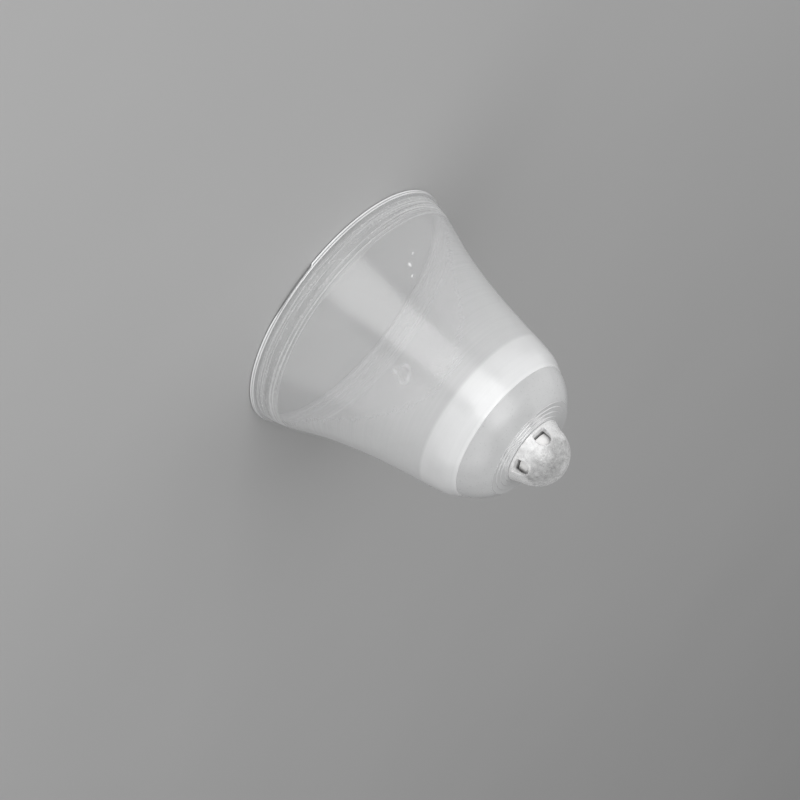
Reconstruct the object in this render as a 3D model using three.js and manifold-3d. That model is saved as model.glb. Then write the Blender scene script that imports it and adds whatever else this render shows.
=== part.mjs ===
// Prophy angle cup: a soft flared cup on a hub, with a windowed dome that turns on the hub's pin.
// Millimetres. +Z runs along the axis from the mouth of the cup to the dome.
// The origin is the centre of the mouth, in the plane of the lip's flat face.

import * as THREE from 'three';
import { mergeVertices } from 'three/addons/utils/BufferGeometryUtils.js';
import Module from 'manifold-3d';

// ---------------------------------------------------------------- driving dimensions

const LIP_RADIUS = 4.08;             // outside radius of the bead on the lip
const LIP_WIDTH = 0.26;              // flat face of the lip
const LIP_HEIGHT = 0.12;             // height of the bead
const LIP_SHOULDER = 0.2;            // height where the bead has faded into the bell
const MOUTH_RADIUS = 4.0;            // the bell's own radius at the lip
const WALL = 0.13;                   // thickness of the skirt behind the bead
const SLEEVE_WALL = 0.32;            // thickness of the skirt where it meets the hub

const RIDGE_RADIUS = 2.3;            // the sharp ring between the sleeve and the end cap
const RIDGE_Z = 6.34;
const FLOOR_Z = 5.26;                // floor of the cup
const CORE_RADIUS = 2.1;             // plug inside the sleeve
const CORE_TOP_Z = 6.3;
const CORE_BEVEL = 0.12;

const NECK_Z = 7.13;                 // top of the end cap, which carries the collar
const NECK_RADIUS = 1.62;
const CROWN_RISE = 0.32;             // how steeply the crown leaves the ridge
const CROWN_FLARE = 0.13;
const CROWN_SHOULDER = 0.3;          // how flat the crown meets the neck
const CROWN_DROP = 0.15;
const COLLAR_STEPS = 4;              // rings turned on the collar
const COLLAR_RISE = 0.02;            // rise of each ring
const COLLAR_INNER_STEP = 0.98;      // radius inside the innermost ring

const DOME_RADIUS = 0.94;
const DOME_WALL = 0.14;
const DOME_Z = 7.45;                 // centre of the dome's sphere
const DOME_FOOT_Z = 7.25;            // underside of the base ring
const DOME_FOOT_RADIUS = 1.04;       // the base ring's outside
const DOME_LEG_BLEND = 0.12;         // the sphere starts this far above its centre
const DOME_HOOK_RADIUS = 0.56;       // inside radius of the snap ring under the pin's head
const DOME_HOOK_TOP_Z = 7.31;
const WINDOW_COUNT = 5;
const WINDOW_WIDTH = 0.48;           // chord across one window
const WINDOW_SILL_Z = 7.33;          // a ring joins the legs below this
const WINDOW_TOP_Z = 7.77;
const WINDOW_TURN = 42.5 * Math.PI / 180;    // turn of the first window from -Y

const PIN_RADIUS = 0.36;
const PIN_FLANGE_RADIUS = 0.62;      // foot of the pin, on the floor of the cup
const PIN_FLANGE_HEIGHT = 0.1;
const PIN_FLANGE_EDGE = 0.04;        // bevel of the foot
const PIN_HEAD_RADIUS = 0.7;
const PIN_HEAD_Z = 7.35;             // underside of the head
const PIN_HEAD_TOP_Z = 7.78;
const PIN_HEAD_CHAMFER = 0.1;

const FIT_GAP = 0.02;                // between pieces that are pressed together
const SEGMENTS = 48;
const SKIRT_STATIONS = 14;           // profile steps from lip to ridge
const INSIDE_MARGIN = 0.2;           // the skirt's inside curve stops this far under the floor

// ---------------------------------------------------------------- helpers

const wasm = await Module();
wasm.setup();

function material(colour, roughness) {
  return new THREE.MeshStandardMaterial({ color: colour, roughness, metalness: 0 });
}

// LatheGeometry turns about Y, so the result is stood up on Z.
function turned(profile) {
  const geometry = new THREE.LatheGeometry(profile, SEGMENTS);
  geometry.rotateX(Math.PI / 2);
  return geometry;
}

function at(radius, z) {
  return new THREE.Vector2(radius, z);
}

function closed(points) {
  return [...points, points[0].clone()];
}

function toSolid(geometry) {
  const bare = geometry.clone();
  bare.deleteAttribute('normal');
  bare.deleteAttribute('uv');
  const welded = mergeVertices(bare, 1e-5);
  return new wasm.Manifold(new wasm.Mesh({
    numProp: 3,
    vertProperties: new Float32Array(welded.attributes.position.array),
    triVerts: new Uint32Array(welded.index.array),
  }));
}

function toGeometry(solid) {
  const mesh = solid.getMesh();
  const geometry = new THREE.BufferGeometry();
  geometry.setAttribute('position', new THREE.BufferAttribute(mesh.vertProperties, 3));
  geometry.setIndex(new THREE.BufferAttribute(mesh.triVerts, 1));
  geometry.computeVertexNormals();
  return geometry;
}

function piece(name, geometry, finish) {
  const mesh = new THREE.Mesh(geometry, finish);
  mesh.name = name;
  return mesh;
}

// ---------------------------------------------------------------- the bell's outer curve

// Radius of the outside of the bell, from lip to ridge, as one smooth curve.
const bell = new THREE.SplineCurve([
  at(MOUTH_RADIUS, 0),
  at(3.84, 0.78),
  at(3.38, 2.0),
  at(3.02, 3.3),
  at(2.78, 4.5),
  at(2.63, 5.4),
  at(2.5, 5.98),
  at(RIDGE_RADIUS, RIDGE_Z),
]);

function bellPoints() {
  return bell.getSpacedPoints(SKIRT_STATIONS);
}

// The wall thickens steadily from the lip to the sleeve.
function wallAt(z) {
  return WALL + (SLEEVE_WALL - WALL) * Math.min(1, z / FLOOR_Z) ** 3;
}

// ---------------------------------------------------------------- pieces

function cupSkirt() {
  const outside = bellPoints().filter((point) => point.y > LIP_SHOULDER);
  const sleeveInside = CORE_RADIUS + FIT_GAP;
  const inside = outside
    .filter((point) => point.y < FLOOR_Z - INSIDE_MARGIN)
    .map((point) => at(point.x - wallAt(point.y), point.y))
    .reverse();
  const floorCorner = at(bellRadius(FLOOR_Z) - SLEEVE_WALL, FLOOR_Z);
  const profile = [
    at(LIP_RADIUS, 0),
    at(LIP_RADIUS, LIP_HEIGHT),
    at(bellRadius(LIP_SHOULDER), LIP_SHOULDER),
    ...outside,
    at(sleeveInside, RIDGE_Z),
    at(sleeveInside, FLOOR_Z),
    floorCorner,
    ...inside,
    at(bellRadius(LIP_SHOULDER) - WALL, LIP_SHOULDER),
    at(LIP_RADIUS - LIP_WIDTH, LIP_HEIGHT),
    at(LIP_RADIUS - LIP_WIDTH, 0),
  ];
  return turned(closed(profile));
}

function bellRadius(z) {
  const samples = bell.getSpacedPoints(200);
  const above = samples.findIndex((point) => point.y >= z);
  const low = samples[above - 1];
  const high = samples[above];
  return low.x + (high.x - low.x) * (z - low.y) / (high.y - low.y);
}

function hubCore() {
  const bore = PIN_RADIUS + FIT_GAP;
  return turned(closed([
    at(bore, FLOOR_Z),
    at(CORE_RADIUS - CORE_BEVEL, FLOOR_Z),
    at(CORE_RADIUS, FLOOR_Z + CORE_BEVEL),
    at(CORE_RADIUS, CORE_TOP_Z),
    at(bore, CORE_TOP_Z),
  ]));
}

function endCap() {
  const bore = PIN_RADIUS + FIT_GAP;
  const crown = new THREE.CubicBezierCurve(
    at(RIDGE_RADIUS - FIT_GAP, RIDGE_Z + FIT_GAP),
    at(RIDGE_RADIUS - CROWN_FLARE, RIDGE_Z + CROWN_RISE),
    at(NECK_RADIUS + CROWN_SHOULDER, NECK_Z - CROWN_DROP),
    at(NECK_RADIUS, NECK_Z),
  );
  const under = CORE_RADIUS - FIT_GAP;
  return turned(closed([
    ...crown.getPoints(8),
    at(bore, NECK_Z),
    at(bore, CORE_TOP_Z + FIT_GAP),
    at(under, CORE_TOP_Z + FIT_GAP),
    at(under, RIDGE_Z + FIT_GAP),
  ]));
}

function thrustCollar() {
  const bore = PIN_RADIUS + FIT_GAP;
  const foot = NECK_Z + FIT_GAP;
  const tread = (NECK_RADIUS - COLLAR_INNER_STEP) / COLLAR_STEPS;
  const stairs = [];
  for (let step = 0; step < COLLAR_STEPS; step += 1) {
    const radius = NECK_RADIUS - step * tread;
    stairs.push(at(radius, foot + step * COLLAR_RISE));
    stairs.push(at(radius, foot + (step + 1) * COLLAR_RISE));
  }
  const top = foot + COLLAR_STEPS * COLLAR_RISE;
  return turned(closed([...stairs, at(bore, top), at(bore, foot)]));
}

function spindlePin() {
  const foot = FLOOR_Z - FIT_GAP;
  return turned([
    at(0, foot - PIN_FLANGE_HEIGHT),
    at(PIN_FLANGE_RADIUS - PIN_FLANGE_EDGE, foot - PIN_FLANGE_HEIGHT),
    at(PIN_FLANGE_RADIUS, foot - PIN_FLANGE_HEIGHT + PIN_FLANGE_EDGE),
    at(PIN_FLANGE_RADIUS, foot),
    at(PIN_RADIUS, foot),
    at(PIN_RADIUS, PIN_HEAD_Z),
    at(PIN_HEAD_RADIUS, PIN_HEAD_Z),
    at(PIN_HEAD_RADIUS, PIN_HEAD_TOP_Z - PIN_HEAD_CHAMFER),
    at(PIN_HEAD_RADIUS - PIN_HEAD_CHAMFER, PIN_HEAD_TOP_Z),
    at(0, PIN_HEAD_TOP_Z),
  ]);
}

function arc(radius, fromZ, steps) {
  const start = Math.asin((fromZ - DOME_Z) / radius);
  const points = [];
  for (let step = 0; step <= steps; step += 1) {
    const angle = start + (Math.PI / 2 - start) * step / steps;
    points.push(at(step === steps ? 0 : radius * Math.cos(angle), DOME_Z + radius * Math.sin(angle)));
  }
  return points;
}

function windowCutter() {
  const half = WINDOW_WIDTH / 2;
  const outline = new THREE.Shape();
  outline.moveTo(-half, WINDOW_SILL_Z);
  outline.lineTo(half, WINDOW_SILL_Z);
  outline.lineTo(half, WINDOW_TOP_Z - half);
  outline.absarc(0, WINDOW_TOP_Z - half, half, 0, Math.PI, false);
  const cutter = new THREE.ExtrudeGeometry(outline, {
    depth: 2 * DOME_RADIUS,
    bevelEnabled: false,
    curveSegments: 8,
  });
  cutter.rotateX(Math.PI / 2);
  return cutter;
}

function windowedDome() {
  const inner = DOME_RADIUS - DOME_WALL;
  const shell = turned([
    ...arc(inner, DOME_Z, 8).reverse(),
    at(inner, DOME_HOOK_TOP_Z),
    at(DOME_HOOK_RADIUS, DOME_HOOK_TOP_Z),
    at(DOME_HOOK_RADIUS, DOME_FOOT_Z),
    at(DOME_FOOT_RADIUS, DOME_FOOT_Z),
    ...arc(DOME_RADIUS, DOME_Z + DOME_LEG_BLEND, 10),
  ]);
  let solid = toSolid(shell);
  for (let index = 0; index < WINDOW_COUNT; index += 1) {
    const cutter = windowCutter();
    cutter.rotateZ(WINDOW_TURN + index * 2 * Math.PI / WINDOW_COUNT);
    solid = solid.subtract(toSolid(cutter));
  }
  return toGeometry(solid);
}

// ---------------------------------------------------------------- assembly

const cup = new THREE.Group();
cup.add(piece('cup_skirt', cupSkirt(), material(0xdfe1e2, 0.42)));
cup.add(piece('hub_core', hubCore(), material(0xe9eaea, 0.5)));
cup.add(piece('end_cap', endCap(), material(0xd9dbdc, 0.4)));
cup.add(piece('thrust_collar', thrustCollar(), material(0xe2e3e4, 0.38)));
cup.add(piece('spindle_pin', spindlePin(), material(0xf0f0ee, 0.55)));

const journal = new THREE.Group();
journal.add(piece('windowed_dome', windowedDome(), material(0xd2d4d5, 0.7)));

const prophyAngleCup = new THREE.Group();
prophyAngleCup.add(cup);
prophyAngleCup.add(journal);

export default prophyAngleCup;
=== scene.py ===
"""Prophy angle cup: a flared translucent cup on a hub, and a frosted windowed dome that turns on its pin.

Shapes are built in millimetres, in the part's own frame: +Z runs from the cup's mouth to the dome. Each
mesh is scaled to metres when it is made."""

import math

import bmesh
import bpy
from mathutils import Matrix, Vector, noise


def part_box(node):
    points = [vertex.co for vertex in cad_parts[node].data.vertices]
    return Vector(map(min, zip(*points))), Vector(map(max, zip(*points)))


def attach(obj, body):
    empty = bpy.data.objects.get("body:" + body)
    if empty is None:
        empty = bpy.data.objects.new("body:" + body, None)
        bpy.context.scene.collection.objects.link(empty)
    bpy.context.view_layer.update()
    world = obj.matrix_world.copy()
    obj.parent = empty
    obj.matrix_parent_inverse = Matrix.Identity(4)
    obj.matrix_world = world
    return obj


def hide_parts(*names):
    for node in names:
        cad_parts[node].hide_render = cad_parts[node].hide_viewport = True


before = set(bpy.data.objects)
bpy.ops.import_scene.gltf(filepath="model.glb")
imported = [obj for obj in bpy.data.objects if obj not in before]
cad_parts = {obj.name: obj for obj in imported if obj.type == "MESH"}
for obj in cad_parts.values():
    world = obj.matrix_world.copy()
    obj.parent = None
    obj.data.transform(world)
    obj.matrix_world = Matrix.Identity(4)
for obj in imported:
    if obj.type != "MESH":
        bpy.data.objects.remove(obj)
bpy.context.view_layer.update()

MM = 0.001


# ---------------------------------------------------------------- sizes, in mm, taken from the frame

def corners(node):
    low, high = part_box(node)
    return Vector(low) / MM, Vector(high) / MM


def radius_of(node):
    return corners(node)[1].x


def bottom_of(node):
    return corners(node)[0].z


def top_of(node):
    return corners(node)[1].z


GAP = 0.02
LIP_RADIUS = radius_of("cup_skirt")
RIDGE_Z = top_of("cup_skirt")
RIDGE_RADIUS = radius_of("end_cap") + GAP
FLOOR_Z = bottom_of("hub_core")
CORE_RADIUS = radius_of("hub_core")
CORE_TOP_Z = top_of("hub_core")
NECK_Z = top_of("end_cap")
NECK_RADIUS = radius_of("thrust_collar")
COLLAR_TOP_Z = top_of("thrust_collar")
PIN_HEAD_RADIUS = radius_of("spindle_pin")
PIN_FOOT_Z = bottom_of("spindle_pin")
PIN_TOP_Z = top_of("spindle_pin")
DOME_RADIUS = 0.94
DOME_FOOT_RADIUS = 1.04
DOME_Z = top_of("windowed_dome") - DOME_RADIUS

WALL = 0.13
SLEEVE_WALL = 0.32
MOUTH_RADIUS = 4.0
LIP_WIDTH = 0.26
LIP_HEIGHT = 0.12
LIP_SHOULDER = 0.2
CORE_BEVEL = 0.12
CROWN_RISE = 0.32
CROWN_FLARE = 0.13
CROWN_SHOULDER = 0.3
CROWN_DROP = 0.15
PIN_RADIUS = 0.36
PIN_FLANGE_RADIUS = 0.62
PIN_HEAD_Z = 7.35
PIN_HEAD_CHAMFER = 0.1
DOME_WALL = 0.14
DOME_LEG_BLEND = 0.12
DOME_HOOK_RADIUS = 0.56
DOME_HOOK_TOP_Z = 7.31
WINDOW_COUNT = 5
WINDOW_WIDTH = 0.48
WINDOW_SILL_Z = 7.33
WINDOW_TOP_Z = 7.77
WINDOW_TURN = math.radians(42.5)

# The outside of the bell, from lip to ridge: (radius, height).
BELL = [
    (MOUTH_RADIUS, 0.0),
    (3.84, 0.78),
    (3.38, 2.0),
    (3.02, 3.3),
    (2.78, 4.5),
    (2.63, 5.4),
    (2.5, 5.98),
    (RIDGE_RADIUS, RIDGE_Z),
]


# ---------------------------------------------------------------- camera and stage

MOUTH_RADII_AWAY = 30                # camera distance
CAMERA_TILT = math.radians(20.4)     # above the plane of the lip
CAMERA_ROLL = math.radians(37.8)     # the axis runs this far below the picture's horizontal
MOUTH_SHARE = 0.1715                 # the mouth's radius as a share of the picture's width


def make_camera():
    tilt, roll = CAMERA_TILT, CAMERA_ROLL
    back = Vector((0, -math.cos(tilt), math.sin(tilt)))
    along = Vector((0, math.sin(tilt), math.cos(tilt)))
    right = math.cos(roll) * along - math.sin(roll) * Vector((1, 0, 0))
    up = -math.sin(roll) * along - math.cos(roll) * Vector((1, 0, 0))
    radius = MOUTH_RADIUS * MM
    data = bpy.data.cameras.new("camera")
    data.sensor_width = 36
    data.lens = data.sensor_width * MOUTH_SHARE * MOUTH_RADII_AWAY
    data.clip_start, data.clip_end = 0.002, 10
    camera = bpy.data.objects.new("camera", data)
    place = radius * (MOUTH_RADII_AWAY * back + 0.396 * right - 0.685 * up)
    camera.matrix_world = Matrix.Translation(place) @ Matrix((right, up, back)).transposed().to_4x4()
    bpy.context.collection.objects.link(camera)
    bpy.context.scene.camera = camera


def area_light(name, azimuth, elevation, distance, width, height, power):
    """A soft box that faces the cup. Azimuth 0 is the camera's side, and 90 is towards -X."""
    turn, lift = math.radians(azimuth), math.radians(elevation)
    back = Vector((-math.sin(turn) * math.cos(lift), -math.cos(turn) * math.cos(lift), math.sin(lift)))
    data = bpy.data.lights.new(name, "AREA")
    data.shape = "RECTANGLE"
    data.size, data.size_y = width, height
    data.energy = power
    light = bpy.data.objects.new(name, data)
    light.location = Vector((0, 0, 4 * MM)) + distance * back
    light.rotation_mode = "QUATERNION"
    light.rotation_quaternion = (-back).to_track_quat("-Z", "Y")
    light.visible_camera = False
    bpy.context.collection.objects.link(light)


def make_stage():
    world = bpy.data.worlds.new("studio")
    world.use_nodes = True
    background = world.node_tree.nodes["Background"]
    background.inputs["Color"].default_value = (0.9, 0.9, 0.9, 1)
    background.inputs["Strength"].default_value = 0.2
    bpy.context.scene.world = world

    mesh = bpy.data.meshes.new("floor")
    side, depth = 1.5, -0.02 * MM
    corners_of = [(-side, -side, depth), (side, -side, depth), (side, side, depth), (-side, side, depth)]
    mesh.from_pydata(corners_of, [], [(0, 1, 2, 3)])
    floor = bpy.data.objects.new("floor", mesh)
    bpy.context.collection.objects.link(floor)
    mesh.materials.append(floor_material())

    area_light("key_strip", azimuth=19, elevation=28, distance=0.16, width=0.13, height=0.2, power=0.25)
    area_light("left_box", azimuth=-52, elevation=28, distance=0.16, width=0.25, height=0.2, power=0.16)
    area_light("right_box", azimuth=91, elevation=28, distance=0.16, width=0.26, height=0.2, power=0.11)


# ---------------------------------------------------------------- node helpers

class Nodes:
    """Shorthand for one material's node tree."""

    def __init__(self, name):
        self.material = bpy.data.materials.new(name)
        self.material.use_nodes = True
        self.tree = self.material.node_tree
        self.tree.nodes.clear()

    def add(self, kind, settings=None, **inputs):
        node = self.tree.nodes.new(kind)
        for key, value in (settings or {}).items():
            setattr(node, key, value)
        for key, value in inputs.items():
            self.feed(node.inputs[key.replace("_", " ")], value)
        return node

    def feed(self, socket, value):
        if isinstance(value, bpy.types.NodeSocket):
            self.tree.links.new(value, socket)
        else:
            socket.default_value = value

    def math(self, operation, first, second=None):
        node = self.tree.nodes.new("ShaderNodeMath")
        node.operation = operation
        self.feed(node.inputs[0], first)
        if second is not None:
            self.feed(node.inputs[1], second)
        return node.outputs[0]

    def remap(self, value, low, high, to_low, to_high):
        node = self.add("ShaderNodeMapRange", Value=value)
        for index, number in zip((1, 2, 3, 4), (low, high, to_low, to_high)):
            node.inputs[index].default_value = number
        return node.outputs[0]

    def mapped(self, scale):
        place = self.add("ShaderNodeTexCoord").outputs["Object"]
        node = self.add("ShaderNodeMapping", Vector=place)
        node.inputs["Scale"].default_value = scale
        return node.outputs[0]

    def noise(self, scale, detail=3.0, roughness=0.6):
        """Noise with features of about 1 / scale metres along each axis."""
        node = self.add("ShaderNodeTexNoise", Vector=self.mapped(scale), Scale=1.0, Detail=detail,
                        Roughness=roughness)
        return node.outputs[0]

    def bump(self, height, strength, distance, normal=None):
        node = self.add("ShaderNodeBump", Height=height, Strength=strength, Distance=distance)
        if normal is not None:
            self.feed(node.inputs["Normal"], normal)
        return node.outputs[0]

    def grey(self, value, warmth=0.0):
        """A colour from one number, a touch warmer or cooler than neutral."""
        node = self.add("ShaderNodeCombineColor")
        self.feed(node.inputs[0], self.math("MULTIPLY", value, 1 + warmth))
        self.feed(node.inputs[1], value)
        self.feed(node.inputs[2], self.math("MULTIPLY", value, 1 - warmth))
        return node.outputs[0]

    def opacity_along(self, opacity):
        """Opacity where the line of sight crosses at a slant a layer of this opacity seen square on."""
        facing = self.add("ShaderNodeLayerWeight", Blend=0.5).outputs["Facing"]
        square = self.math("MAXIMUM", self.math("SUBTRACT", 1.0, facing), 0.12)
        clear = self.math("POWER", self.math("SUBTRACT", 1.0, opacity), self.math("DIVIDE", 1.0, square))
        return self.math("SUBTRACT", 1.0, clear)

    def finish(self, colour, roughness, normal, opacity=None, gloss=None, sheen=0.0, edge=0.6):
        """Milky plastic of that opacity, under a glossy skin whose reflection grows towards the edge."""
        shader = self.add("ShaderNodeBsdfPrincipled", Base_Color=colour, Roughness=roughness, Normal=normal)
        shader.inputs["IOR"].default_value = 1.46
        shader.inputs["Sheen Weight"].default_value = sheen
        shader.inputs["Sheen Roughness"].default_value = 0.3
        result = shader.outputs[0]
        if opacity is not None:
            clear = self.add("ShaderNodeBsdfTransparent").outputs[0]
            result = self.mix(opacity, clear, result)
        if gloss is not None:
            facing = self.add("ShaderNodeLayerWeight", Blend=0.5, Normal=normal).outputs["Facing"]
            share = self.math("MULTIPLY_ADD", self.math("POWER", facing, 5.0), edge)
            self.feed(share.node.inputs[2], gloss)
            skin = self.add("ShaderNodeBsdfGlossy", Roughness=roughness, Normal=normal).outputs[0]
            result = self.mix(share, result, skin)
        output = self.add("ShaderNodeOutputMaterial")
        self.feed(output.inputs["Surface"], result)
        return self.material

    def mix(self, share, first, second):
        node = self.tree.nodes.new("ShaderNodeMixShader")
        self.feed(node.inputs[0], share)
        self.feed(node.inputs[1], first)
        self.feed(node.inputs[2], second)
        return node.outputs[0]


def floor_material():
    nodes = Nodes("floor")
    tone = nodes.remap(nodes.noise((40, 40, 40)), 0.3, 0.7, 0.41, 0.43)
    normal = nodes.bump(nodes.noise((9000, 9000, 9000)), 0.1, 0.00002)
    return nodes.finish(nodes.grey(tone), 0.7, normal)


def skirt_material():
    """Milky elastomer: "milk" is how white it is, "turned" how lined, and "inside" marks the inner face."""
    nodes = Nodes("skirt_elastomer")
    milk = nodes.add("ShaderNodeAttribute", {"attribute_name": "milk"}).outputs["Fac"]
    turned = nodes.add("ShaderNodeAttribute", {"attribute_name": "turned"}).outputs["Fac"]
    cloud = nodes.noise((500, 500, 300), detail=3)
    lines = nodes.noise((90, 90, 14000), detail=2)
    streaks = nodes.noise((420, 420, 30000), detail=3)
    fine = nodes.noise((16000, 16000, 16000), detail=3)
    speckle = nodes.noise((12000, 12000, 16000), detail=2)

    marks = nodes.remap(lines, 0.35, 0.65, -0.07, 0.09)
    marks = nodes.math("ADD", marks, nodes.remap(streaks, 0.35, 0.65, -0.08, 0.11))
    marks = nodes.math("ADD", marks, nodes.remap(speckle, 0.56, 0.68, 0.0, 0.12))
    opacity = nodes.math("ADD", nodes.remap(milk, 0, 1, 0.03, 0.9), nodes.math("MULTIPLY", turned, marks))
    clamp = nodes.add("ShaderNodeClamp", Value=opacity, Min=0.02, Max=0.96)
    shade = nodes.remap(cloud, 0.3, 0.7, 0.79, 0.83)
    rough = nodes.math("ADD", nodes.remap(fine, 0.35, 0.65, 0.2, 0.25), nodes.math("MULTIPLY", turned, 0.16))
    normal = nodes.bump(streaks, nodes.math("MULTIPLY", turned, 0.7), 0.000003)
    normal = nodes.bump(lines, 0.04, 0.000004, normal)
    inside = nodes.add("ShaderNodeAttribute", {"attribute_name": "inside"}).outputs["Fac"]
    gloss = nodes.math("SUBTRACT", 0.065, nodes.math("MULTIPLY", turned, 0.03))
    gloss = nodes.math("MULTIPLY", gloss, nodes.math("SUBTRACT", 1.0, nodes.math("MULTIPLY", inside, 0.85)))
    edge = nodes.math("SUBTRACT", 0.6, nodes.math("MULTIPLY", inside, 0.5))
    colour = nodes.grey(shade, -0.006)
    return nodes.finish(colour, rough, normal, nodes.opacity_along(clamp.outputs[0]), gloss, edge=edge)


def milky_material(name, tone, opacity, roughness, rings=0.3, grain=0.3, gloss=0.05):
    """Translucent moulded plastic with faint turned rings."""
    nodes = Nodes(name)
    cloud = nodes.noise((900, 900, 700), detail=4)
    streaks = nodes.noise((300, 300, 15000), detail=2)
    fine = nodes.noise((16000, 16000, 16000), detail=4)
    milk = nodes.math("ADD", nodes.remap(cloud, 0.3, 0.7, -0.03, 0.03), opacity)
    shade = nodes.math("ADD", nodes.remap(cloud, 0.3, 0.7, -0.02, 0.02), tone)
    rough = nodes.math("ADD", nodes.remap(fine, 0.35, 0.65, -0.03, 0.05), roughness)
    normal = nodes.bump(streaks, rings, 0.000003)
    normal = nodes.bump(fine, grain, 0.0000006, normal)
    return nodes.finish(nodes.grey(shade, -0.006), rough, normal, nodes.opacity_along(milk), gloss)


def frosted_material(name):
    """The dome: a rough milky veil over an inner face darkened as painted shade, thicker and smoother on its
    legs.
    """
    nodes = Nodes(name)
    leg = nodes.add("ShaderNodeAttribute", {"attribute_name": "milk"}).outputs["Fac"]
    inner = nodes.add("ShaderNodeAttribute", {"attribute_name": "inner"}).outputs["Fac"]
    mottle = nodes.noise((7500, 7500, 7500), detail=4)
    grain = nodes.noise((22000, 22000, 22000), detail=3)
    veil = nodes.math("ADD", nodes.remap(mottle, 0.3, 0.7, 0.12, 0.3), nodes.math("MULTIPLY", leg, 0.6))
    opacity = nodes.math("MAXIMUM", veil, nodes.math("MULTIPLY", inner, 0.85))
    clamp = nodes.add("ShaderNodeClamp", Value=opacity, Max=0.96)
    # Painted shade: the inner face is darkened to stand for the shadowed inside of the dome, less so on the
    # legs.
    inner_painted_shade = nodes.math("MULTIPLY", inner, nodes.math("SUBTRACT", 0.68, nodes.math("MULTIPLY", leg, 0.3)))
    shade = nodes.math("SUBTRACT", nodes.remap(mottle, 0.3, 0.7, 0.84, 0.92), inner_painted_shade)
    shade = nodes.math("SUBTRACT", shade, nodes.math("MULTIPLY", leg, 0.2))
    rough = nodes.remap(grain, 0.3, 0.7, 0.2, 0.45)
    away = nodes.math("SUBTRACT", 1.0, nodes.math("MULTIPLY", leg, 0.85))
    strength = nodes.math("MULTIPLY", away, 0.8)
    normal = nodes.bump(mottle, strength, 0.00002)
    normal = nodes.bump(grain, strength, 0.000006, normal)
    return nodes.finish(nodes.grey(shade), rough, normal, nodes.opacity_along(clamp.outputs[0]), 0.09,
                        sheen=1.0)


def opaque_material(name, tone, roughness):
    """A plain pale moulding, nearly opaque, with a fine grain."""
    nodes = Nodes(name)
    cloud = nodes.noise((1800, 1800, 1800), detail=4)
    grain = nodes.noise((15000, 15000, 15000), detail=3)
    shade = nodes.math("ADD", tone, nodes.remap(cloud, 0.3, 0.7, -0.03, 0.03))
    gloss = nodes.math("ADD", roughness, nodes.remap(grain, 0.3, 0.7, -0.06, 0.06))
    normal = nodes.bump(grain, 0.3, 0.000003)
    return nodes.finish(nodes.grey(shade, 0.008), gloss, normal)


# ---------------------------------------------------------------- mesh helpers

def spline(points, steps):
    """A smooth curve through the points, with that many steps between each pair."""
    found = []
    last = len(points) - 1
    for index in range(last):
        before, after = points[max(index - 1, 0)], points[min(index + 2, last)]
        start, end = points[index], points[index + 1]
        for step in range(steps):
            t = step / steps
            place = []
            for a, b, c, d in zip(before, start, end, after):
                slope_in, slope_out = (c - a) / 2, (d - b) / 2
                place.append((2 * b - 2 * c + slope_in + slope_out) * t ** 3
                             + (3 * c - 3 * b - 2 * slope_in - slope_out) * t ** 2 + slope_in * t + b)
            found.append(tuple(place))
    return found + [tuple(points[-1])]


def at_height(curve, z):
    """Radius of a rising curve at that height."""
    for (r0, z0), (r1, z1) in zip(curve, curve[1:]):
        if z0 <= z <= z1:
            return r0 + (r1 - r0) * (z - z0) / (z1 - z0)
    return curve[-1][0]


def rounded(corner, before, after, radius, steps=4):
    """An arc-like curve that rounds a corner of a profile."""
    corner, before, after = Vector(corner), Vector(before), Vector(after)
    start = corner + (before - corner).normalized() * radius
    end = corner + (after - corner).normalized() * radius
    found = []
    for step in range(steps + 1):
        t = step / steps
        found.append(tuple((1 - t) ** 2 * start + 2 * t * (1 - t) * corner + t * t * end))
    return found


def round_profile(corners_in, closes=True):
    """A profile from (radius, height, rounding) corners."""
    found = []
    count = len(corners_in)
    for index, (r, z, rounding) in enumerate(corners_in):
        if rounding == 0 or (not closes and index in (0, count - 1)):
            found.append((r, z))
        else:
            before = corners_in[index - 1][:2]
            after = corners_in[(index + 1) % count][:2]
            found += rounded((r, z), before, after, rounding)
    return found


def revolve(name, profile, segments, shape=None, milk=None, closes=True):
    """Turns a profile of (radius, height) about Z. shape(r, z, angle) gives back a changed (r, z)."""
    mesh = bmesh.new()
    rows = []
    for r, z in profile:
        if r < 1e-9:
            rows.append([mesh.verts.new((0, 0, z))])
            continue
        row = []
        for index in range(segments):
            angle = 2 * math.pi * index / segments
            radius, height = shape(r, z, angle) if shape else (r, z)
            row.append(mesh.verts.new((radius * math.cos(angle), radius * math.sin(angle), height)))
        rows.append(row)
    pairs = list(zip(rows, rows[1:])) + ([(rows[-1], rows[0])] if closes else [])
    for low, high in pairs:
        for index in range(segments):
            after = (index + 1) % segments
            ring = [low[index % len(low)], low[after % len(low)]]
            ring += [high[after % len(high)], high[index % len(high)]]
            corners_used = list(dict.fromkeys(ring))
            if len(corners_used) > 2:
                mesh.faces.new(corners_used)
    bmesh.ops.recalc_face_normals(mesh, faces=mesh.faces)
    return to_object(name, mesh, milk)


def to_object(name, mesh, milk=None):
    data = bpy.data.meshes.new(name)
    mesh.to_mesh(data)
    mesh.free()
    piece = bpy.data.objects.new(name, data)
    bpy.context.collection.objects.link(piece)
    if milk:
        paint(piece, "milk", milk)
    return piece


def paint(piece, name, amount):
    """amount(x, y, z) in mm gives a number from 0 to 1 for each point, which the material reads by name."""
    layer = piece.data.attributes.new(name, "FLOAT", "POINT")
    layer.data.foreach_set("value", [amount(*vertex.co) for vertex in piece.data.vertices])


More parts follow.
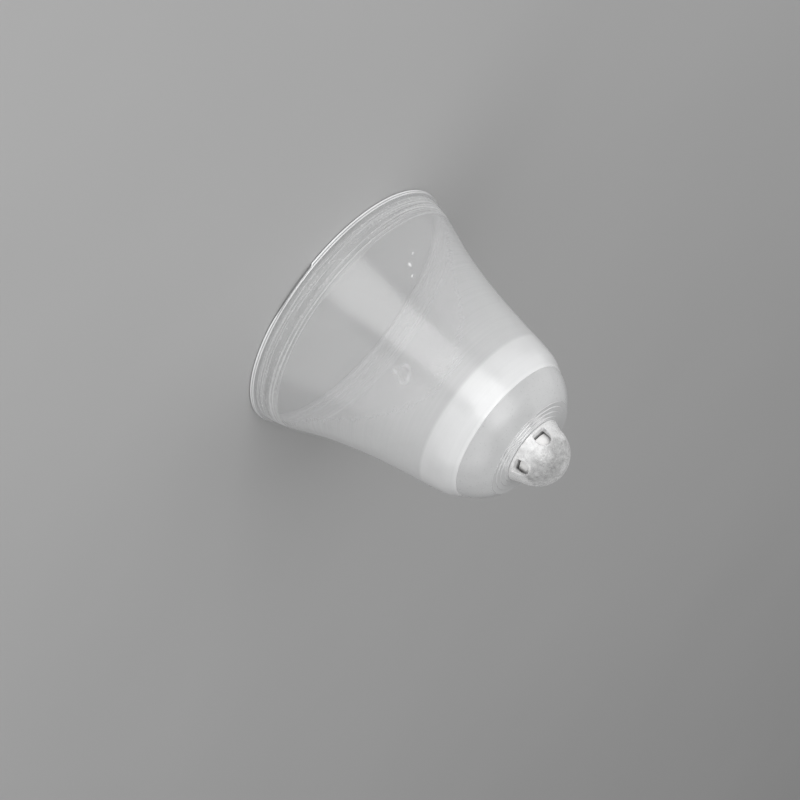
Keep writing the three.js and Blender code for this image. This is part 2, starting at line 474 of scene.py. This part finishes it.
def complete(piece, material, body, slot, *nodes, sharp=math.radians(40)):
    """Scales a piece to metres, shades it and ties it to the frame."""
    piece.data.transform(Matrix.Scale(MM, 4))
    piece.data.polygons.foreach_set("use_smooth", [True] * len(piece.data.polygons))
    piece.data.set_sharp_from_angle(angle=sharp)
    piece.data.materials.clear()
    piece.data.materials.append(material)
    piece.data.update()
    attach(piece, body)
    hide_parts(*nodes)
    return piece


def apply_modifiers(piece):
    bpy.context.view_layer.update()
    found = bpy.data.meshes.new_from_object(piece.evaluated_get(bpy.context.evaluated_depsgraph_get()))
    piece.modifiers.clear()
    piece.data = found


# ---------------------------------------------------------------- cup skirt

RING_BAND = (0.16, 0.86)      # heights between which the outside carries turned rings
RING_LINES = (0.74, 0.83)     # clear single lines at the end of the band
# The white specks: angle, height and size.
SPECKS = ((234, 1.88, 0.05), (237, 2.16, 0.035), (228, 1.67, 0.03))
# Angle and height round the scuff.
SCUFF = ((282, 3.5), (286, 3.9), (284, 4.0), (276, 3.9), (276, 3.7), (282, 3.5))
NICK = (math.radians(266), math.radians(298))     # the bead is worn thinner between these angles
NICK_DEPTH = 0.05
GROOVE_Z = 0.07               # the groove round the middle of the bead
# The outside of the bead, from its foot up: (inset from the lip's radius, height).
BEAD = (
    (0.03, 0.0), (0.006, 0.01), (0.0, 0.028), (0.005, 0.046), (0.022, 0.06), (0.03, GROOVE_Z), (0.022, 0.08),
    (0.012, 0.094), (0.014, 0.11), (0.034, 0.13), (0.075, 0.15), (0.11, 0.175),
)


def ease(value, low, high):
    share = max(0.0, min(1.0, (value - low) / (high - low)))
    return share * share * (3 - 2 * share)


def band_share(z):
    low, high = RING_BAND
    return ease(z, low - 0.02, low + 0.06) * (1 - ease(z, high - 0.14, high + 0.06))


def turned_rings(angle, z):
    """Depth of the fine rings by the lip, broken up a little round the cup."""
    place = Vector((2.2 * math.cos(angle), 2.2 * math.sin(angle), 17 * z))
    broken = Vector((6 * math.cos(angle), 6 * math.sin(angle), 30 * z))
    return band_share(z) * (0.003 * noise.noise(place) + 0.001 * noise.noise(broken))


def ring_lines(angle, z):
    """The clear lines that end the band: strong in some places and gone in others."""
    fade = 0.5 + 0.9 * noise.noise(Vector((1.7 * math.cos(angle), 1.7 * math.sin(angle), 4 * z)))
    return max(0.0, fade) * sum(math.exp(-((z - line) / 0.012) ** 2) for line in RING_LINES)


def gap_to(place, start, end):
    """Distance in mm from a point to a line between two places."""
    along = end - start
    share = max(0.0, min(1.0, (place - start).dot(along) / max(along.length_squared, 1e-9)))
    return (place - start - share * along).length


def wear(x, y, z, curve):
    """Small white specks and a scuff on the wall."""
    def spot(degrees, height):
        angle, radius = math.radians(degrees), at_height(curve, height)
        return Vector((radius * math.cos(angle), radius * math.sin(angle), height))
    place = Vector((x, y, z))
    white = 0.0
    for degrees, height, size in SPECKS:
        white += 0.9 * math.exp(-((place - spot(degrees, height)).length / size) ** 4)
    route = [spot(*each) for each in SCUFF]
    near = min(gap_to(place, a, b) for a, b in zip(route, route[1:]))
    broken = max(0.0, 0.7 + noise.noise(6 * place))
    return white + 0.14 * broken * math.exp(-(near / 0.06) ** 2)


def cup_skirt():
    curve = spline(BELL, 40)
    heights = [LIP_SHOULDER]
    while heights[-1] < RIDGE_Z - 0.12:
        step = 0.012 if heights[-1] < RING_BAND[1] + 0.05 else 0.04
        heights.append(heights[-1] + step)
    bead = [(LIP_RADIUS - inset, z) for inset, z in BEAD]
    outside = bead + [(at_height(curve, z), z) for z in heights]
    inside = []
    z = FLOOR_Z - 0.12
    while z > LIP_SHOULDER + 0.06:
        share = min(1, z / FLOOR_Z) ** 3
        inside.append((at_height(curve, z) - WALL - (SLEEVE_WALL - WALL) * share, z))
        z -= 0.08
    sleeve = CORE_RADIUS + GAP
    corner = at_height(curve, FLOOR_Z) - SLEEVE_WALL
    top = RIDGE_Z + 0.012
    profile = outside + rounded((RIDGE_RADIUS, top), outside[-1], (sleeve, top), 0.02)
    profile += [(sleeve, top), (sleeve, FLOOR_Z)]
    profile += rounded((corner, FLOOR_Z), (sleeve, FLOOR_Z), inside[0], 0.1, 6)
    profile += inside
    shoulder = at_height(curve, LIP_SHOULDER) - WALL
    face = LIP_RADIUS - LIP_WIDTH
    profile += [(shoulder, LIP_SHOULDER), (shoulder - 0.004, 0.165)]
    profile += rounded((face, LIP_HEIGHT), (shoulder, LIP_SHOULDER), (face, 0), 0.03)
    profile += rounded((face, 0), (face, LIP_HEIGHT), (LIP_RADIUS, 0), 0.03)

    def shape(r, z, angle):
        turn = angle % (2 * math.pi)
        worn = ease(turn, NICK[0], NICK[0] + 0.012) * (1 - ease(turn, NICK[1] - 0.3, NICK[1]))
        lift = NICK_DEPTH * worn * (1 - ease(z, 0.0, LIP_HEIGHT))
        if r < at_height(curve, z) - 0.05:
            return r, z + lift
        return r + turned_rings(angle, z) + 0.006 * ring_lines(angle, z), z + lift

    def on_outside(x, y, z):
        return math.hypot(x, y) > at_height(curve, z) - 0.06

    def milk(x, y, z):
        outer = on_outside(x, y, z)
        if z < LIP_SHOULDER - 0.03:
            if not outer:
                return 0.05
            if abs(z - GROOVE_Z) < 0.012 or z > LIP_HEIGHT - 0.002:
                return 0.06
            # Painted highlight: the bead is made whiter on the camera's side (-y) and clearer on the far
            # side.
            near = ease(-y / LIP_RADIUS, -0.1, 0.5)
            return 0.25 + (0.65 if z < GROOVE_Z else 0.5) * near
        thick = 0.09 + 0.26 * (z / FLOOR_Z) ** 1.3
        if not outer:
            return 1.0 if z > FLOOR_Z - 0.02 else 0.5 * thick
        band = 0.04 * band_share(z) + 0.2 * ring_lines(math.atan2(y, x), z)
        # Whiter over the thick sleeve, and a painted highlight: a whiter line just under the ridge.
        sleeve = 0.24 * ease(z, FLOOR_Z - 0.02, FLOOR_Z + 0.12) + 0.14 * ease(z, RIDGE_Z - 0.03, RIDGE_Z)
        return min(1.0, thick + band + sleeve + (wear(x, y, z, curve) if 1.4 < z < 4.2 else 0))

    piece = revolve("cup_skirt_shell", profile, 320, shape, milk)
    paint(piece, "turned", lambda x, y, z: 0.06 + 0.94 * band_share(z) if on_outside(x, y, z) else 0.05)
    paint(piece, "inside", lambda x, y, z: 0.0 if on_outside(x, y, z) else 1.0)
    return complete(piece, skirt_material(), "cup", "skirt", "cup_skirt")


# ---------------------------------------------------------------- hub

def hub_core():
    bore = PIN_RADIUS + GAP
    profile = round_profile([
        (bore, FLOOR_Z, 0),
        (CORE_RADIUS - CORE_BEVEL, FLOOR_Z, 0.04),
        (CORE_RADIUS, FLOOR_Z + CORE_BEVEL, 0.04),
        (CORE_RADIUS, CORE_TOP_Z, 0.02),
        (bore, CORE_TOP_Z, 0),
    ])
    piece = revolve("hub_core_plug", profile, 192)
    material = milky_material("core_moulding", 0.74, 0.7, 0.4, rings=0.2, grain=0.3)
    return complete(piece, material, "cup", "core", "hub_core")


def bezier(a, b, c, d, steps):
    found = []
    for step in range(steps + 1):
        t = step / steps
        weights = ((1 - t) ** 3, 3 * t * (1 - t) ** 2, 3 * t * t * (1 - t), t ** 3)
        found.append(tuple(sum(w * p[axis] for w, p in zip(weights, (a, b, c, d))) for axis in (0, 1)))
    return found


CAP_TONE, CAP_OPACITY = 0.68, 0.55


def end_cap():
    bore = PIN_RADIUS + GAP
    under = CORE_RADIUS - GAP
    edge = RIDGE_Z + 0.014
    crown = bezier((RIDGE_RADIUS - GAP, edge), (RIDGE_RADIUS - CROWN_FLARE, RIDGE_Z + CROWN_RISE),
                   (NECK_RADIUS + CROWN_SHOULDER, NECK_Z - CROWN_DROP), (NECK_RADIUS, NECK_Z), 60)
    profile = crown + [(bore, NECK_Z), (bore, CORE_TOP_Z + GAP), (under, CORE_TOP_Z + GAP), (under, edge)]

    def shape(r, z, angle):
        if z < RIDGE_Z + 0.05 or r < NECK_RADIUS + 0.01:
            return r, z
        place = Vector((1.2 * math.cos(angle), 1.2 * math.sin(angle), 22 * r))
        return r, z + 0.0015 * noise.noise(place) - 0.002

    piece = revolve("end_cap_crown", profile, 256, shape)
    material = milky_material("cap_moulding", CAP_TONE, CAP_OPACITY, 0.3, rings=0.2, grain=0.25)
    return complete(piece, material, "cup", "cap", "end_cap")


COLLAR_STEPS = 4
COLLAR_INNER_STEP = 0.98


def thrust_collar():
    """A low stair of rings that follows on from the crown."""
    bore = PIN_RADIUS + GAP
    foot = NECK_Z + 0.002
    tread = (NECK_RADIUS - COLLAR_INNER_STEP) / COLLAR_STEPS
    rise = (COLLAR_TOP_Z - foot) / COLLAR_STEPS
    stairs = []
    for step in range(COLLAR_STEPS):
        radius = NECK_RADIUS - step * tread
        stairs.append((radius, foot + step * rise, 0.008 if step else 0))
        stairs.append((radius, foot + (step + 1) * rise, 0.012))
    profile = round_profile(stairs + [(bore, COLLAR_TOP_Z, 0), (bore, foot, 0)])
    piece = revolve("thrust_collar_rings", profile, 256)
    # Painted highlight: the collar's tone sits above the cap's to lighten its rings.
    material = milky_material("collar_moulding", CAP_TONE + 0.06, 0.6, 0.14, rings=0.0, grain=0.06, gloss=0.2)
    return complete(piece, material, "cup", "collar", "thrust_collar")


def spindle_pin():
    profile = round_profile([
        (0, PIN_FOOT_Z, 0),
        (PIN_FLANGE_RADIUS, PIN_FOOT_Z, 0.05),
        (PIN_FLANGE_RADIUS, FLOOR_Z - GAP, 0.01),
        (PIN_RADIUS, FLOOR_Z - GAP, 0),
        (PIN_RADIUS, PIN_HEAD_Z, 0.03),
        (PIN_HEAD_RADIUS, PIN_HEAD_Z, 0.015),
        (PIN_HEAD_RADIUS, PIN_TOP_Z - PIN_HEAD_CHAMFER, 0.03),
        (PIN_HEAD_RADIUS - PIN_HEAD_CHAMFER, PIN_TOP_Z, 0.03),
        (0, PIN_TOP_Z, 0),
    ], closes=False)
    piece = revolve("spindle_pin_turned", profile, 128, closes=False)
    return complete(piece, opaque_material("pin_moulding", 0.9, 0.45), "cup", "pin", "spindle_pin")


# ---------------------------------------------------------------- windowed dome

DOME_VOXEL = 0.012
DOME_FOOT_GAP = 0.008         # between the dome's foot and the collar's top


def dome_arc(radius, from_z, steps):
    start = math.asin((from_z - DOME_Z) / radius)
    found = []
    for step in range(steps + 1):
        angle = start + (math.pi / 2 - start) * step / steps
        found.append((0 if step == steps else radius * math.cos(angle), DOME_Z + radius * math.sin(angle)))
    return found


def window_cutter(turn):
    """A prism with an arched top that points outwards from the axis."""
    mesh = bmesh.new()
    half = WINDOW_WIDTH / 2
    outline = [(-half, WINDOW_SILL_Z), (half, WINDOW_SILL_Z)]
    for step in range(25):
        angle = math.pi * step / 24
        outline.append((half * math.cos(angle), WINDOW_TOP_Z - half + half * math.sin(angle)))
    near = [mesh.verts.new((x, -0.2, z)) for x, z in outline]
    far = [mesh.verts.new((x, -2 * DOME_RADIUS, z)) for x, z in outline]
    mesh.faces.new(near)
    mesh.faces.new(far[::-1])
    for index in range(len(outline)):
        after = (index + 1) % len(outline)
        mesh.faces.new((near[index], far[index], far[after], near[after]))
    bmesh.ops.recalc_face_normals(mesh, faces=mesh.faces)
    bmesh.ops.rotate(mesh, verts=mesh.verts, matrix=Matrix.Rotation(turn, 3, "Z"))
    return to_object("window_cutter", mesh)


def windowed_dome():
    inner = DOME_RADIUS - DOME_WALL
    profile = dome_arc(inner, DOME_Z, 24)[::-1]
    foot = COLLAR_TOP_Z + DOME_FOOT_GAP
    profile += [(inner, DOME_HOOK_TOP_Z), (DOME_HOOK_RADIUS, DOME_HOOK_TOP_Z), (DOME_HOOK_RADIUS, foot)]
    profile += [(DOME_FOOT_RADIUS + 0.01, foot)] + dome_arc(DOME_RADIUS, DOME_Z + DOME_LEG_BLEND, 32)
    piece = revolve("windowed_dome_shell", profile, 128, closes=False)
    for index in range(WINDOW_COUNT):
        cutter = window_cutter(WINDOW_TURN + index * 2 * math.pi / WINDOW_COUNT)
        cut = piece.modifiers.new("window", "BOOLEAN")
        cut.operation, cut.solver, cut.object = "DIFFERENCE", "EXACT", cutter
        apply_modifiers(piece)
        bpy.data.objects.remove(cutter)
    remesh = piece.modifiers.new("remesh", "REMESH")
    remesh.mode, remesh.voxel_size = "VOXEL", DOME_VOXEL
    relax = piece.modifiers.new("relax", "SMOOTH")
    relax.factor, relax.iterations = 0.5, 5
    apply_modifiers(piece)
    for vertex in piece.data.vertices:
        place = vertex.co
        out = place - Vector((0, 0, DOME_Z))
        if place.z > WINDOW_TOP_Z - 0.12 and out.length > DOME_RADIUS - 0.5 * DOME_WALL:
            rough = noise.noise(place * 13) * 0.6 + noise.noise(place * 30) * 0.5
            depth = 0.009 * (1 + rough) * ease(place.z, WINDOW_TOP_Z - 0.12, WINDOW_TOP_Z)
            vertex.co = place - out.normalized() * depth
    paint(piece, "milk", lambda x, y, z: 1 - ease(z + 0.1 * noise.noise(Vector((3 * x, 3 * y, 3 * z))),
                                                   WINDOW_TOP_Z - 0.22, WINDOW_TOP_Z + 0.16))
    paint(piece, "inner", lambda x, y, z: 1 - ease(math.hypot(x, y, max(0, z - DOME_Z)), inner, inner + 0.06))
    return complete(piece, frosted_material("dome_frosted"), "dome", "dome", "windowed_dome",
                    sharp=math.radians(60))


# ---------------------------------------------------------------- the scene

make_camera()
make_stage()
cup_skirt()
hub_core()
end_cap()
thrust_collar()
spindle_pin()
windowed_dome()

scene = bpy.context.scene
scene.view_settings.view_transform = "Standard"
scene.view_settings.look = "None"
